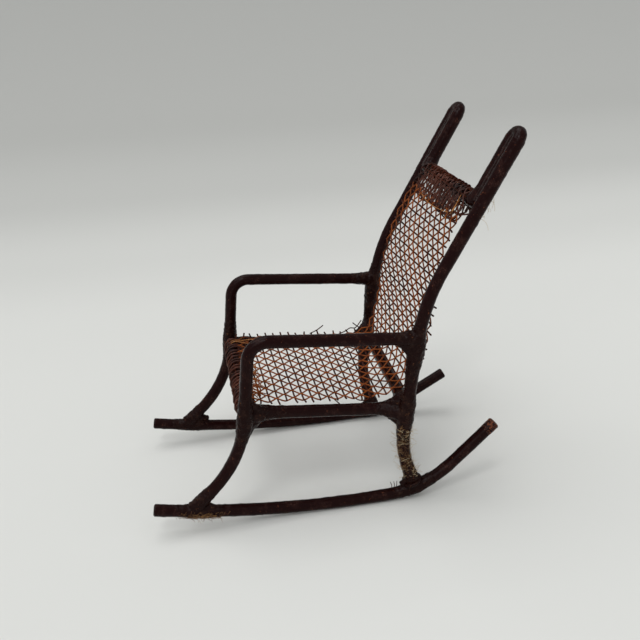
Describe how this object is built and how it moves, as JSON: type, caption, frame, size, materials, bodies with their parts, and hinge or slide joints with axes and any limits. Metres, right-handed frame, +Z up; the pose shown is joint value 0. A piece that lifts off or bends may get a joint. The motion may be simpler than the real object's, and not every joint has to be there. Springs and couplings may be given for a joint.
{
  "type": "miniature rocking chair",
  "caption": "Dolls house rocking chair of bent, soldered rods with curved rockers, open arms, tall folded-over posts and a woven wire seat and back.",
  "frame": {"origin": "on the floor, under the middle of the chair's box", "axes": "+Z up, the chair faces -Y, +X is the sitter's left"},
  "size_m": [0.0468, 0.0906, 0.092],
  "materials": {
    "painted_rod": "satin dark brown paint over metal rod, slightly lumpy, with rust specks",
    "solder": "rough painted solder",
    "cross_wire": "dark brown fine wire",
    "long_wire": "tarnished orange-brown fine wire"
  },
  "bodies": {
    "root": {"left_rocker": "painted_rod", "right_rocker": "painted_rod", "left_leg_and_arm": "painted_rod", "right_leg_and_arm": "painted_rod", "back_frame": "painted_rod", "seat_frame": "painted_rod", "rear_seat_bar": "painted_rod", "left_arm_solder": "solder", "right_arm_solder": "solder", "left_post_solder": "solder", "right_post_solder": "solder", "left_leg_solder": "solder", "right_leg_solder": "solder", "left_front_foot_solder": "solder", "right_front_foot_solder": "solder", "left_rear_foot_solder": "solder", "right_rear_foot_solder": "solder", "seat_cross_wires": "cross_wire", "back_cross_wires": "cross_wire", "upper_long_wires": "long_wire", "lower_long_wires": "long_wire"}
  },
  "joints": []
}
